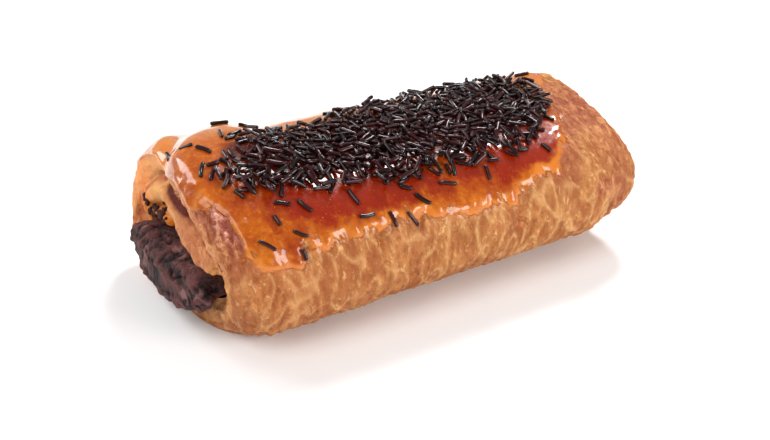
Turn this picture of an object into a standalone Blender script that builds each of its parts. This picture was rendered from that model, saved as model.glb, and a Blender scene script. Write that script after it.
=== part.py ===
"""A baked roll of laminated dough, filled with chocolate and strewn with chocolate sprinkles.

The roll lies along X on its flat base, with the open end that shows the filling towards -X and the front
towards -Y. Angles round the roll run from the back over the top to the front: 0 is +Y and 90 is +Z.
All sizes are in metres.
"""

import math

import bpy
import numpy as np
from mathutils import Matrix, Vector

# The whole roll
LENGTH = 0.136
WIDTH = 0.0714
HEIGHT = 0.0412
WAIST_HEIGHT = 0.0200
BASE_CUT = 0.0020
TOP_FULLNESS = 2.15
BASE_FULLNESS = 2.40
HEIGHT_TAPER = -0.14

# How far the top of the roll rises or dips, at even places from the left end to the right
TOP_LINE = (-0.0020, 0.0034, 0.0028, -0.0014, -0.0012, -0.0009, -0.0032, -0.0041, -0.0056, -0.0020, 0.0030)

# The lap: the sheet's outer edge, a crease over the top near the left end that steps out on the front
LAP_DEPTH = 0.0022
LAP_ANGLE = 76
LAP_PLACE = -0.0595
LAP_SLANT = -24 / 0.014
LAP_SPREAD = 9
LAP_END = (-0.050, -0.042)
LAP_BACK = (76, 84)
LAP_FRONT = (115, 150)
LAP_STEP = 0.0012

# Dents near the right end: depth, place along the roll, angle, and their spread along and round the roll
DENTS = ((0.0016, 0.056, 120, 0.004, 26), (0.0018, 0.055, 195, 0.005, 18))

# The top line and the lumps of the bare dough: where round the roll they are strong, in degrees
TOP_MIDDLE = 75
TOP_SPREAD = 45
LUMP_HEIGHT = 0.0007
LUMP_SIZE = 0.0085
GLAZED_LUMPS = 0.35
BARE_FROM = (118, 150)
BASE_ANGLE = 270
BASE_REACH = (34, 60)

# How far the dough's rims stand from the middle, at eight places round the roll from the back over the top
LEFT_RIM = (0.0630, 0.0612, 0.0606, 0.0616, 0.0596, 0.0583, 0.0608, 0.0650)
RIGHT_RIM = (0.0674, 0.0664, 0.0646, 0.0644, 0.0666, 0.0626, 0.0606, 0.0610)
LEFT_SHOULDER = 0.0130
RIGHT_SHOULDER = 0.0180
LEFT_DRAW_IN = (0.08, 0.09, 0.12, 0.16, 0.20, 0.24, 0.12, 0.05)
RIGHT_DRAW_IN = (0.22, 0.22, 0.22, 0.22, 0.24, 0.24, 0.20, 0.22)

# The dough sheet and the mouths that it leaves round the filling
SHEET_THICKNESS = 0.0060
LIP_DROP = 0.0022
FACE_STARTS = 0.5 * SHEET_THICKNESS
FACE_ENDS = 1.4 * SHEET_THICKNESS
LEFT_MOUTH_X = (0.0605, 0.0590, 0.0572, 0.0570, 0.0565, 0.0565, 0.0600, 0.0625)
RIGHT_MOUTH_X = (0.0612, 0.0600, 0.0590, 0.0600, 0.0612, 0.0600, 0.0592, 0.0594)
LEFT_MOUTH_CENTRE = (0.0033, 0.0114)
LEFT_MOUTH_HALF = (0.0238, 0.0066)
RIGHT_MOUTH_CENTRE = (-0.0010, 0.0140)
RIGHT_MOUTH_HALF = (0.0180, 0.0052)
MOUTH_FULLNESS = 2.5
MOUTH_BEND = 5.5
BORE_STATIONS = (-0.0558, -0.0180, 0.0200, 0.0580)
BEND_START = 0.0120

# The inner wrap of dough over the filling, and a thin strip: places along their crests, and thicknesses
LEFT_WRAP = (
    (-0.0620, 0.0275, 0.0175),
    (-0.0625, 0.0240, 0.0230),
    (-0.0622, 0.0190, 0.0270),
    (-0.0622, 0.0120, 0.0305),
    (-0.0630, 0.0045, 0.0316),
    (-0.0636, -0.0030, 0.0290),
    (-0.0638, -0.0095, 0.0264),
    (-0.0636, -0.0150, 0.0254),
    (-0.0626, -0.0200, 0.0250),
)
LEFT_STRIP = ((-0.0615, 0.0265, 0.0165), (-0.0618, 0.0190, 0.0200), (-0.0612, 0.0115, 0.0208))
RIGHT_WRAP = (
    (0.0628, -0.0220, 0.0210),
    (0.0632, -0.0140, 0.0265),
    (0.0630, -0.0020, 0.0285),
    (0.0632, 0.0100, 0.0270),
    (0.0640, 0.0180, 0.0220),
)
WRAP_THICKNESS = 0.0078
STRIP_THICKNESS = 0.0036
WRAP_SLOPE = 0.0040
WRAP_BLEND = 0.0006

# The filling, and the plug of it that swells out of the left mouth
FILLING_GAP = 0.0006
PLUG_SWELL = 0.0028
PLUG_ROUNDING = 0.0045
PLUG_LEAN = 0.0012
PLUG_MIDDLE = 0.0100
PLUG_REACH = 0.0200
PLUG_STAGES = (1.0, 0.99, 0.96, 0.92, 0.86, 0.79, 0.72, 0.65, 0.58, 0.51, 0.44, 0.36, 0.28, 0.20)
RIGHT_FILLING_END = 0.0604
RIGHT_FILLING_BEVEL = (0.0006, 0.0012)
PLUG_OUTWARD = (-0.55, 0.35)
PLUG_SWELL_FROM = (0.0006, 0.0030)
PLUG_ROUGH_FROM = (0.0655, 0.0665)
PLUG_ROUGHNESS = 0.0004
PLUG_LUMPS = 0.0060

# Sprinkles: their size, and how far their axis stands off the crust
SPRINKLE_LENGTH = 0.0050
SPRINKLE_RADIUS = 0.00060
SPRINKLE_SIDES = 6
SPRINKLE_STAND = 0.00022
SPRINKLE_CLEARANCE = 0.00155
STEEPEST_LEAN = math.radians(24)
LEAN_LIFT = 0.75
GAP_PLACES = 7

# The band of sprinkles: places along the roll, and the angles of its back and front edges there
BAND_SPRINKLES = 140
BAND_TRIES = 40
BAND_PLACES = (-0.056, -0.052, -0.046, -0.034, -0.020, 0.000, 0.020, 0.040, 0.050, 0.054)
BAND_BACK = (89, 86, 84, 77, 68, 60, 50, 46, 52, 72)
BAND_FRONT = (92, 108, 116, 120, 125, 130, 126, 114, 106, 88)

# Stray sprinkles: place along the roll in millimetres, angle round it, turn from the roll's direction
STRAYS = (
    (-57.3, 91, 13), (-53.8, 112, -35), (-51.0, 118, 62), (-42.0, 128, 24), (-36.6, 132, 60), (-45.0, 136, 78),
    (-40.5, 146, 36), (-49.9, 148, 45), (-41.5, 158, 82), (-30.3, 127, 10), (-23.2, 134, 78), (-22.0, 146, 5),
    (-8.5, 137, 30), (-5.5, 146, 50), (3.1, 140, 20), (-15.4, 152, 80), (-9.9, 155, 60), (18.7, 134, 60),
    (26.5, 132, 40), (14.0, 141, 100), (36.6, 134, 68), (58.5, 57, 20), (-39.0, 62, 25),
)

# Mesh fineness: rings along the roll stand closer at its ends
STATIONS = 46
ROUND_STEPS = 44
CAP_RINGS = 10
RING_SPREAD = (0.35, 0.15)
SEED = 7


def around(values, angle):
    """A value set at eight even places round the roll, joined by a smooth curve that closes on itself."""
    waves = np.fft.rfft(np.array(values)) / len(values)
    total = np.full_like(angle, waves[0].real)
    for order in range(1, len(waves)):
        share = 1 if 2 * order == len(values) else 2
        turned = order * angle
        total += share * (waves[order].real * np.cos(turned) - waves[order].imag * np.sin(turned))
    return total


def along(values, x):
    """A value set at even places from one end of the roll to the other, joined by smooth slopes."""
    place = np.clip((x / LENGTH + 0.5) * (len(values) - 1), 0, len(values) - 1.001)
    low = np.floor(place).astype(int)
    share = smooth_step(place - low, 0, 1)
    values = np.array(values)
    return values[low] * (1 - share) + values[low + 1] * share


def smooth_step(value, low, high):
    """0 below low, 1 above high, and a smooth rise between them."""
    share = np.clip((value - low) / (high - low), 0, 1)
    return share * share * (3 - 2 * share)


def bell(value, middle, spread):
    """A bell curve of height 1."""
    return np.exp(-(((value - middle) / spread) ** 2))


def soft_max(a, b, width):
    """The greater of two heights, with the corner between them rounded over the width."""
    blend = np.clip(0.5 + 0.5 * (a - b) / width, 0, 1)
    return b + (a - b) * blend + width * blend * (1 - blend)


def power(value, fullness):
    """A cosine or sine raised to a superellipse's power, with its sign kept."""
    return np.sign(value) * np.abs(value) ** (2 / fullness)


def lumps(x, angle, cell, seed):
    """Soft lumps about cell metres across on the skin, from -1 to 1: drawn on a grid and joined smoothly."""
    girth = math.pi * (WIDTH + HEIGHT) / 2
    columns, rows = max(4, round(girth / cell)), 256
    heights = np.random.default_rng(seed).uniform(-1, 1, (columns, rows))
    across = angle / (2 * math.pi) * columns
    lengthwise = x / cell + rows / 2
    column, row = np.floor(across).astype(int), np.floor(lengthwise).astype(int)
    u, v = smooth_step(across - column, 0, 1), smooth_step(lengthwise - row, 0, 1)
    near, far = column % columns, (column + 1) % columns
    low = heights[near, row] * (1 - u) + heights[far, row] * u
    high = heights[near, row + 1] * (1 - u) + heights[far, row + 1] * u
    return low * (1 - v) + high * v


def swelling(x, angle):
    """How far the skin stands out from the plain roll: the top line, the crease of the lap and dents."""
    degrees = np.degrees(angle)
    proud = along(TOP_LINE, x) * bell(degrees, TOP_MIDDLE, TOP_SPREAD)
    lap_angle = LAP_ANGLE + LAP_SLANT * (x - LAP_PLACE)
    proud -= LAP_DEPTH * bell(degrees, lap_angle, LAP_SPREAD) * (1 - smooth_step(x, *LAP_END))
    for depth, place, middle, spread, degrees_spread in DENTS:
        proud -= depth * bell(x, place, spread) * bell(degrees, middle, degrees_spread)
    return proud


def skin_relief(x, angle):
    """The lumpy relief of the bare dough, which fades on the glazed top and under the base."""
    degrees = np.degrees(angle)
    bare = GLAZED_LUMPS + (1 - GLAZED_LUMPS) * smooth_step(degrees, *BARE_FROM)
    off_base = smooth_step(np.abs(degrees - BASE_ANGLE), *BASE_REACH)
    return LUMP_HEIGHT * lumps(x, angle, LUMP_SIZE, SEED) * bare * off_base


def crust_skin(share, angle):
    """The outside of the roll, from the left rim at share 0 to the right rim at share 1, as (x, y, z)."""
    degrees = np.degrees(angle)
    lap = smooth_step(degrees, *LAP_BACK) * (1 - smooth_step(degrees, *LAP_FRONT))
    left, right = -around(LEFT_RIM, angle) - LAP_STEP * lap, around(RIGHT_RIM, angle)
    x = left + (right - left) * share
    into_left = np.clip(1 - (x - left) / LEFT_SHOULDER, 0, 1)
    into_right = np.clip(1 - (right - x) / RIGHT_SHOULDER, 0, 1)
    scale = 1 - around(LEFT_DRAW_IN, angle) * (1 - np.sqrt(1 - into_left**2))
    scale -= around(RIGHT_DRAW_IN, angle) * (1 - np.sqrt(1 - into_right**2))
    proud = swelling(x, angle) + skin_relief(x, angle)
    upper = np.sin(angle) > 0
    fullness = np.where(upper, TOP_FULLNESS, BASE_FULLNESS)
    rise = np.where(upper, HEIGHT - WAIST_HEIGHT, WAIST_HEIGHT + BASE_CUT)
    y = WIDTH / 2 * power(np.cos(angle), fullness)
    z = rise * power(np.sin(angle), fullness) * (1 + HEIGHT_TAPER * x / LENGTH)
    stretch = scale + proud / np.hypot(y, z)
    return x, y * stretch, np.maximum(WAIST_HEIGHT + z * stretch, 0)


def channel_section(share, angle, gap):
    """The bore's (y, z), from the left mouth at share 0 to the right one at 1, narrowed by gap."""
    left, right = LEFT_MOUTH_CENTRE + LEFT_MOUTH_HALF, RIGHT_MOUTH_CENTRE + RIGHT_MOUTH_HALF
    middle_y, middle_z, half_y, half_z = [a + (b - a) * share for a, b in zip(left, right)]
    y = middle_y + (half_y - gap) * power(np.cos(angle), MOUTH_FULLNESS)
    z = middle_z + (half_z - gap) * power(np.sin(angle), MOUTH_FULLNESS)
    return y, z + (1 - share) * MOUTH_BEND * np.minimum(y - BEND_START, 0) ** 2


def bore_ring(x, angle, gap):
    """A ring of the bore at x, narrowed by gap."""
    share = (x - BORE_STATIONS[0]) / (BORE_STATIONS[-1] - BORE_STATIONS[0])
    y, z = channel_section(share, angle, gap)
    return np.stack([np.full_like(y, x), y, z], -1)


def roll_of_dough(y, z, crest, thickness):
    """How far out a round-topped roll of dough reaches over each point, from its crest line of (x, y, z)."""
    reach = np.full_like(y, -1.0)
    for (x0, y0, z0), (x1, y1, z1) in zip(crest, crest[1:]):
        run = (y1 - y0) ** 2 + (z1 - z0) ** 2
        part = np.clip(((y - y0) * (y1 - y0) + (z - z0) * (z1 - z0)) / run, 0, 1)
        away = np.hypot(y - y0 - (y1 - y0) * part, z - z0 - (z1 - z0) * part) * 2 / thickness
        top = abs(x0) + (abs(x1) - abs(x0)) * part
        drop = thickness / 2 * (1 - np.sqrt(np.clip(1 - away**2, 0, 1)))
        drop += WRAP_SLOPE * np.maximum(away - 1, 0)
        reach = np.maximum(reach, top - drop)
    return reach


def end_cap(q, angle, side):
    """The end face from the rim at q 0 to the mouth at q 1, on the left (side -1) or the right (side 1)."""
    share = np.full_like(angle, 0.0 if side < 0 else 1.0)
    rim_x, rim_y, rim_z = crust_skin(share, angle)
    mouth_y, mouth_z = channel_section(share, angle, 0)
    span = np.hypot(mouth_y - rim_y, mouth_z - rim_z)
    y, z = rim_y + (mouth_y - rim_y) * q, rim_z + (mouth_z - rim_z) * q
    distance = q * span
    edge = np.clip(distance / SHEET_THICKNESS, 0, 1)
    rim_reach = side * rim_x
    mouth_reach = around(LEFT_MOUTH_X if side < 0 else RIGHT_MOUTH_X, angle)
    fall = smooth_step(distance, FACE_STARTS, np.minimum(FACE_ENDS, span))
    reach = rim_reach - LIP_DROP * (1 - np.sqrt(1 - edge**2)) * (1 - fall)
    reach += (mouth_reach - rim_reach) * fall
    if side < 0:
        reach = soft_max(reach, roll_of_dough(y, z, LEFT_STRIP, STRIP_THICKNESS), WRAP_BLEND)
    wrap = LEFT_WRAP if side < 0 else RIGHT_WRAP
    reach = soft_max(reach, roll_of_dough(y, z, wrap, WRAP_THICKNESS), WRAP_BLEND)
    return side * reach, y, z


def crust_rings():
    """Rings of points round the dough: outside, right end face, bore and left end face in one closed skin."""
    angle = np.linspace(0, 2 * math.pi, ROUND_STEPS, endpoint=False)
    rings = []
    for step in np.linspace(0, math.pi, STATIONS):
        share = 0.5 - RING_SPREAD[0] * math.cos(step) - RING_SPREAD[1] * math.cos(step) ** 3
        rings.append(np.stack(crust_skin(np.full_like(angle, share), angle), -1))
    for q in np.arange(1, CAP_RINGS) / (CAP_RINGS - 1):
        rings.append(np.stack(end_cap(q, angle, 1), -1))
    for x in reversed(BORE_STATIONS):
        rings.append(bore_ring(x, angle, 0))
    for q in np.arange(CAP_RINGS - 1, 0, -1) / (CAP_RINGS - 1):
        rings.append(np.stack(end_cap(q, angle, -1), -1))
    return rings


def plug_ring(stage, angle):
    """A ring of the plug, from the mouth at stage 0 to its blunt nose at stage 1."""
    y = channel_section(0.0, angle, FILLING_GAP)[0]
    nose = LENGTH / 2 - PLUG_LEAN * ((y - PLUG_MIDDLE) / PLUG_REACH) ** 2
    x = BORE_STATIONS[0] - (nose + BORE_STATIONS[0]) * stage
    rim = around(LEFT_RIM, angle)
    outward = smooth_step(-np.sin(angle), *PLUG_OUTWARD)
    swell_from, swell_to = PLUG_SWELL_FROM
    swell = PLUG_SWELL * outward * smooth_step(-x, rim + swell_from, rim + swell_to)
    nearness = max(2 * stage - 1, 0)
    rounding = 1 - math.sqrt(1 - nearness**2)
    y, z = channel_section(0.0, angle, FILLING_GAP - swell + PLUG_ROUNDING * rounding)
    rough = PLUG_ROUGHNESS * smooth_step(-x, *PLUG_ROUGH_FROM) * lumps(3 * z, angle, PLUG_LUMPS, SEED + 3)
    return x, y + rough, z


def filling_rings():
    """Rings of points round the filling: the nose of the plug, the run through the bore and the right end."""
    angle = np.linspace(0, 2 * math.pi, ROUND_STEPS, endpoint=False)
    rings = []
    for stage in PLUG_STAGES:
        rings.append(np.stack(plug_ring(stage, angle), -1))
    for x in BORE_STATIONS:
        rings.append(bore_ring(x, angle, FILLING_GAP))
    back, inward = RIGHT_FILLING_BEVEL
    for short, narrow in ((back, 0.0), (0.0, inward)):
        y, z = channel_section(1.0, angle, FILLING_GAP + narrow)
        rings.append(np.stack([np.full_like(y, RIGHT_FILLING_END - short), y, z], -1))
    return rings


def ring_faces(count, steps, closed_ends):
    """Quads between rings of points: the last ring meets the first, or a ladder of quads closes each end."""
    i, j = np.meshgrid(np.arange(count - closed_ends), np.arange(steps), indexing="ij")
    here, ahead = i * steps, (i + 1) % count * steps
    following = (j + 1) % steps
    faces = np.stack([here + j, here + following, ahead + following, ahead + j], -1).reshape(-1, 4).tolist()
    if closed_ends:
        last = (count - 1) * steps
        for k in range(steps // 2):
            rung = [k, steps - k, steps - k - 1, k + 1]
            corners = [corner % steps for corner in rung]
            corners = corners[1:] if corners[0] == corners[1] else corners
            corners = corners[:-1] if corners[-1] == corners[-2] else corners
            faces.append(corners)
            faces.append([last + corner for corner in reversed(corners)])
    return faces


def mesh_object(name, rings, colour, roughness, closed_ends):
    """An object made of rings of points."""
    faces = ring_faces(len(rings), rings[0].shape[0], closed_ends)
    mesh = bpy.data.meshes.new(name)
    mesh.from_pydata(np.concatenate(rings).tolist(), [], faces)
    mesh.validate()
    mesh.materials.append(plain_material(name, colour, roughness))
    mesh.shade_smooth()
    made = bpy.data.objects.new(name, mesh)
    bpy.context.scene.collection.objects.link(made)
    return made


def plain_material(name, colour, roughness):
    """A Principled BSDF of one colour."""
    material = bpy.data.materials.new(name)
    material.use_nodes = True
    shader = material.node_tree.nodes["Principled BSDF"]
    shader.inputs["Base Color"].default_value = (*colour, 1)
    shader.inputs["Roughness"].default_value = roughness
    return material


def point_on_skin(x, angle):
    """The place on the dough's outside at x and the angle round the roll."""
    angle = np.array([angle])
    left, right = -around(LEFT_RIM, angle), around(RIGHT_RIM, angle)
    return Vector([float(value[0]) for value in crust_skin((x - left) / (right - left), angle)])


def laid_sprinkle(crust, x, degrees, turn, lean=0.0):
    """Where a sprinkle lies, one end raised by its lean: its middle, the way it points and its way up."""
    angle = math.radians(degrees)
    place, up = crust.closest_point_on_mesh(point_on_skin(x, angle))[1:3]
    round_roll = Vector((0, -math.sin(angle), math.cos(angle)))
    direction = math.cos(turn) * Vector((1, 0, 0)) + math.sin(turn) * round_roll
    flat = (direction - up * direction.dot(up)).normalized()
    middle = place + up * (SPRINKLE_STAND + LEAN_LIFT * SPRINKLE_LENGTH / 2 * math.sin(lean))
    return middle, flat * math.cos(lean) + up * math.sin(lean), up * math.cos(lean) - flat * math.sin(lean)


def nearest_gap(middle, direction, laid):
    """The shortest way from a new sprinkle to those already laid, measured between places along them."""
    steps = np.linspace(-0.5, 0.5, GAP_PLACES)[:, None] * SPRINKLE_LENGTH
    new = np.array(middle) + steps * np.array(direction)
    old = np.concatenate([np.array(place) + steps * np.array(way) for place, way, _ in laid])
    return float(np.linalg.norm(new[:, None] - old[None], axis=-1).min())


def lay_sprinkles(crust):
    """The strays, then the band: each new sprinkle takes the emptiest of several chance places."""
    laid = [laid_sprinkle(crust, x / 1000, degrees, math.radians(turn)) for x, degrees, turn in STRAYS]
    chance = np.random.default_rng(SEED + 5)
    for _ in range(BAND_SPRINKLES):
        best = None
        for _ in range(BAND_TRIES):
            x = chance.uniform(BAND_PLACES[0], BAND_PLACES[-1])
            back, front = np.interp(x, BAND_PLACES, BAND_BACK), np.interp(x, BAND_PLACES, BAND_FRONT)
            lean = STEEPEST_LEAN * chance.uniform() ** 2
            spot = laid_sprinkle(crust, x, chance.uniform(back, front), chance.uniform(0, 2 * math.pi), lean)
            gap = nearest_gap(spot[0], spot[1], laid)
            if best is None or gap > best[0]:
                best = (gap, spot)
        if best[0] > SPRINKLE_CLEARANCE:
            laid.append(best[1])
    return laid


def prism(name, place, direction, up):
    """A many-sided rod, laid along its direction."""
    turns = np.arange(SPRINKLE_SIDES) * 2 * math.pi / SPRINKLE_SIDES + math.pi / SPRINKLE_SIDES
    section = [(math.sin(turn) * SPRINKLE_RADIUS, -math.cos(turn) * SPRINKLE_RADIUS) for turn in turns]
    ends = (-SPRINKLE_LENGTH / 2, SPRINKLE_LENGTH / 2)
    points = [Vector((end, across, height)) for end in ends for across, height in section]
    frame = Matrix((direction, up.cross(direction), up)).transposed()
    sides = [(k, (k + 1) % SPRINKLE_SIDES) for k in range(SPRINKLE_SIDES)]
    faces = [(a, b, b + SPRINKLE_SIDES, a + SPRINKLE_SIDES) for a, b in sides]
    faces += [tuple(reversed(range(SPRINKLE_SIDES))), tuple(range(SPRINKLE_SIDES, 2 * SPRINKLE_SIDES))]
    mesh = bpy.data.meshes.new(name)
    mesh.from_pydata([place + frame @ point for point in points], [], faces)
    return bpy.data.objects.new(name, mesh)


def fuse_sprinkles(crust):
    """Joins every sprinkle to the crust in one body."""
    gathered = bpy.data.collections.new("sprinkles")
    bpy.context.scene.collection.children.link(gathered)
    for number, (place, direction, up) in enumerate(lay_sprinkles(crust)):
        gathered.objects.link(prism(f"sprinkle_{number}", place, direction, up))
    union = crust.modifiers.new("sprinkles", "BOOLEAN")
    union.operation = "UNION"
    union.operand_type = "COLLECTION"
    union.collection = gathered
    union.solver = "EXACT"
    bpy.context.view_layer.objects.active = crust
    bpy.ops.object.modifier_apply(modifier=union.name)
    for sprinkle in list(gathered.objects):
        bpy.data.objects.remove(sprinkle)
    bpy.data.collections.remove(gathered)


def main():
    for old in list(bpy.data.objects):
        bpy.data.objects.remove(old)
    crust = mesh_object("crust", crust_rings(), (0.62, 0.28, 0.09), 0.5, False)
    bpy.context.view_layer.update()
    fuse_sprinkles(crust)
    mesh_object("filling", filling_rings(), (0.05, 0.02, 0.015), 0.6, True)


main()
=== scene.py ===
"""The looks of a baked roll of laminated dough with a chocolate filling, a glossy glaze and sprinkles.

The roll lies along X, with its open end towards -X and its front towards -Y, in metres. Angles round the
roll run from the back over the top to the front: 0 is +Y and 90 is +Z.
"""

import itertools
import math

import bpy
import numpy as np
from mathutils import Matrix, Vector


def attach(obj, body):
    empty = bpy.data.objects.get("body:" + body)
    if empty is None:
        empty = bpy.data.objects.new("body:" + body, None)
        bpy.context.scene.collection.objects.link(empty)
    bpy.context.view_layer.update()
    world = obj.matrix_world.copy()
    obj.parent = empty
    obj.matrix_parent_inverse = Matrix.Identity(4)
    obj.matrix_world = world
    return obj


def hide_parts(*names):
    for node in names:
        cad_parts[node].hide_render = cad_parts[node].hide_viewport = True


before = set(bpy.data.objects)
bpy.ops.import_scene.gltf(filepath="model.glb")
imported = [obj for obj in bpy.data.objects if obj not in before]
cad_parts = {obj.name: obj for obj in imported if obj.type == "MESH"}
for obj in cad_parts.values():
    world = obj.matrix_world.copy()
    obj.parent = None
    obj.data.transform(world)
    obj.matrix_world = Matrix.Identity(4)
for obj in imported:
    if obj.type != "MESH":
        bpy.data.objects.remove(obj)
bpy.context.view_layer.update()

# The whole roll
LENGTH = 0.136
WIDTH = 0.0714
HEIGHT = 0.0412
WAIST_HEIGHT = 0.02
BASE_CUT = 0.002
TOP_FULLNESS = 2.15
BASE_FULLNESS = 2.4
HEIGHT_TAPER = -0.14
TOP_LINE = (-0.002, 0.0034, 0.0028, -0.0014, -0.0012, -0.0009, -0.0032, -0.0041, -0.0056, -0.003, 0.0014)
TOP_MIDDLE = 75
TOP_SPREAD = 45

# The lap: a crease over the top near the left end
LAP_DEPTH = 0.0022
LAP_ANGLE = 76
LAP_PLACE = -0.0595
LAP_SLANT = -24 / 0.014
LAP_SPREAD = 9
LAP_END = (-0.05, -0.042)
LAP_BACK = (76, 84)
LAP_FRONT = (115, 150)
LAP_STEP = 0.0012
DENTS = ((0.0016, 0.056, 120, 0.004, 26), (0.0018, 0.055, 195, 0.005, 18))

# Rims, mouths and the inner wrap
LEFT_RIM = (0.063, 0.0612, 0.0606, 0.0616, 0.0596, 0.0583, 0.0608, 0.065)
RIGHT_RIM = (0.0674, 0.0664, 0.0646, 0.0644, 0.0666, 0.0626, 0.0606, 0.061)
LEFT_SHOULDER = 0.013
RIGHT_SHOULDER = 0.018
LEFT_DRAW_IN = (0.08, 0.09, 0.12, 0.16, 0.2, 0.24, 0.12, 0.05)
RIGHT_DRAW_IN = (0.22, 0.22, 0.22, 0.22, 0.24, 0.24, 0.2, 0.22)
SHEET_THICKNESS = 0.006
LIP_DROP = 0.0022
FACE_STARTS = 0.5 * SHEET_THICKNESS
FACE_ENDS = 1.4 * SHEET_THICKNESS
LEFT_MOUTH_X = (0.0605, 0.059, 0.0572, 0.057, 0.0565, 0.0565, 0.06, 0.0625)
RIGHT_MOUTH_X = (0.0612, 0.06, 0.059, 0.06, 0.0612, 0.06, 0.0592, 0.0594)
LEFT_MOUTH_CENTRE = (0.0033, 0.0114)
LEFT_MOUTH_HALF = (0.0238, 0.0066)
RIGHT_MOUTH_CENTRE = (-0.001, 0.014)
RIGHT_MOUTH_HALF = (0.018, 0.0052)
MOUTH_FULLNESS = 2.5
MOUTH_BEND = 5.5
BORE_STATIONS = (-0.0558, -0.018, 0.02, 0.058)
BEND_START = 0.012
LEFT_WRAP = (
    (-0.062, 0.0275, 0.0175), (-0.0625, 0.024, 0.023), (-0.0622, 0.019, 0.027), (-0.0622, 0.012, 0.0305),
    (-0.063, 0.0045, 0.0316), (-0.0636, -0.003, 0.029), (-0.0638, -0.0095, 0.0264),
    (-0.0636, -0.015, 0.0254), (-0.0626, -0.02, 0.025),
)
LEFT_STRIP = ((-0.0615, 0.0265, 0.0165), (-0.0618, 0.019, 0.02), (-0.0612, 0.0115, 0.0208))
RIGHT_WRAP = (
    (0.0628, -0.022, 0.021), (0.0632, -0.014, 0.0265), (0.063, -0.002, 0.0285), (0.0632, 0.01, 0.027),
    (0.064, 0.018, 0.022),
)
WRAP_THICKNESS = 0.0078
STRIP_THICKNESS = 0.0036
WRAP_SLOPE = 0.004
WRAP_BLEND = 0.0006

# On the left end face, as (y, z) places: the crease inside the front lip and the groove inside the back wall.
# Crumbs of chocolate lie there at (y, z), with a size, all in millimetres
CREASE_LINE = ((0.006, 0.035), (0.0022, 0.0333), (-0.0019, 0.0326), (-0.0067, 0.0321), (-0.0113, 0.0311),
               (-0.0169, 0.0296), (-0.0214, 0.0289), (-0.0245, 0.0281), (-0.0263, 0.0268))
CREASE_WIDTH = 0.0008
CREASE_DEPTH = 0.0014
WALL_LINE = ((0.0308, 0.0125), (0.029, 0.019), (0.0235, 0.0262), (0.017, 0.0318), (0.01, 0.0345))
WALL_WIDTH = 0.0009
WALL_DEPTH = 0.0008
CRUMBS = (
    (24.4, 21.9, 0.7), (22.8, 21.6, 0.95), (21.2, 20.8, 0.9), (22.1, 18.9, 0.8), (16.0, 21.9, 0.95),
    (14.2, 21.6, 0.95), (17.5, 18.2, 0.85), (24.0, 23.2, 0.6), (14.8, 23.2, 0.65), (17.8, 22.8, 0.7),
    (19.4, 21.2, 0.8), (15.6, 20.0, 0.9), (12.6, 20.2, 0.75), (18.6, 19.6, 0.7), (13.2, 18.6, 0.6),
    (16.8, 20.8, 0.75), (20.4, 19.2, 0.55), (11.6, 21.6, 0.5),
)

# The filling and its plug
FILLING_GAP = 0.0006
PLUG_SWELL = 0.0028
PLUG_LEAN = 0.0012
PLUG_MIDDLE = 0.01
PLUG_REACH = 0.02
PLUG_OUTWARD = (-0.55, 0.35)
PLUG_SWELL_FROM = (0.0006, 0.003)
PLUG_ROUNDING = 0.0042
RIGHT_FILLING_END = 0.0604
FILLING_LUMPS = ((0.0005, 0.006), (0.00055, 0.0031), (0.00045, 0.0017), (0.0003, 0.001))
CRACK_DEPTH = 0.0009
NOSE_TIP = LENGTH / 2 - 0.0004
FARTHEST = LENGTH / 2 - 0.0001
PLUG_STEPS = 420

# Mesh fineness, and where round the roll its columns stand closest
OUTER_RINGS = 250
LEFT_FACE_RINGS = 46
RIGHT_FACE_RINGS = 26
ROUND_STEPS = 300
CLOSEST_AT = math.radians(140)
CLOSENESS = 0.4
SEED = 7

# The band of sprinkles: places along the roll, and the angles of its edges there. The strays: place along the
# roll in millimetres, angle round it, and turn on it
BAND_PLACES = (-0.058, -0.054, -0.05, -0.046, -0.034, -0.02, 0, 0.02, 0.034, 0.047, 0.054)
BAND_BACK = (87, 84, 83, 83, 83, 79, 71, 56, 48, 50, 72)
BAND_FRONT = (90, 107, 114, 117, 121, 125, 130, 127, 126, 111, 88)
STRAYS = (
    (-59.0, 77, 100), (-55.3, 84, 30), (-52.6, 90, 60), (-51.0, 118, 62), (-42.0, 128, 24),
    (-36.6, 132, 60), (-45.0, 136, 78), (-40.5, 146, 36), (-49.9, 148, 45), (-41.5, 158, 82),
    (-30.3, 125, 10), (-23.2, 134, 78), (-22.0, 146, 5), (-8.5, 136, 30), (-5.5, 145, 50), (3.1, 140, 20),
    (-15.4, 152, 80), (-9.9, 155, 60), (15.1, 126, 70), (18.7, 129, 60), (19.1, 134, 20), (25.5, 132, 40),
    (15.6, 140, 100), (36.6, 134, 68), (58.5, 57, 20), (-40.6, 63, 15), (-36.0, 71, 60),
)

# Laying sprinkles: how many, the cell and half length of the map of heights, how steep, how far up the pile
# and how high one may rest, and where the highest rod may reach
DROPPED = 1280
SPRINKLE_TRIES = 14000
MAP_CELL = 0.0002
MAP_HALF = 0.066
STEEPEST = 0.55
PILE_LIMIT = 0.002
TOP_LIMIT = 0.0455
CEILING = 0.047
THINNED_ENDS = 0.03
SPRINKLE_LENGTH = 0.0046
SPRINKLE_RADIUS = 0.00054
SPRINKLE_BEND = 0.0003
SPRINKLE_SINK = 0.00012
SKIN_ENDS = (-0.06, 0.064)

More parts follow.
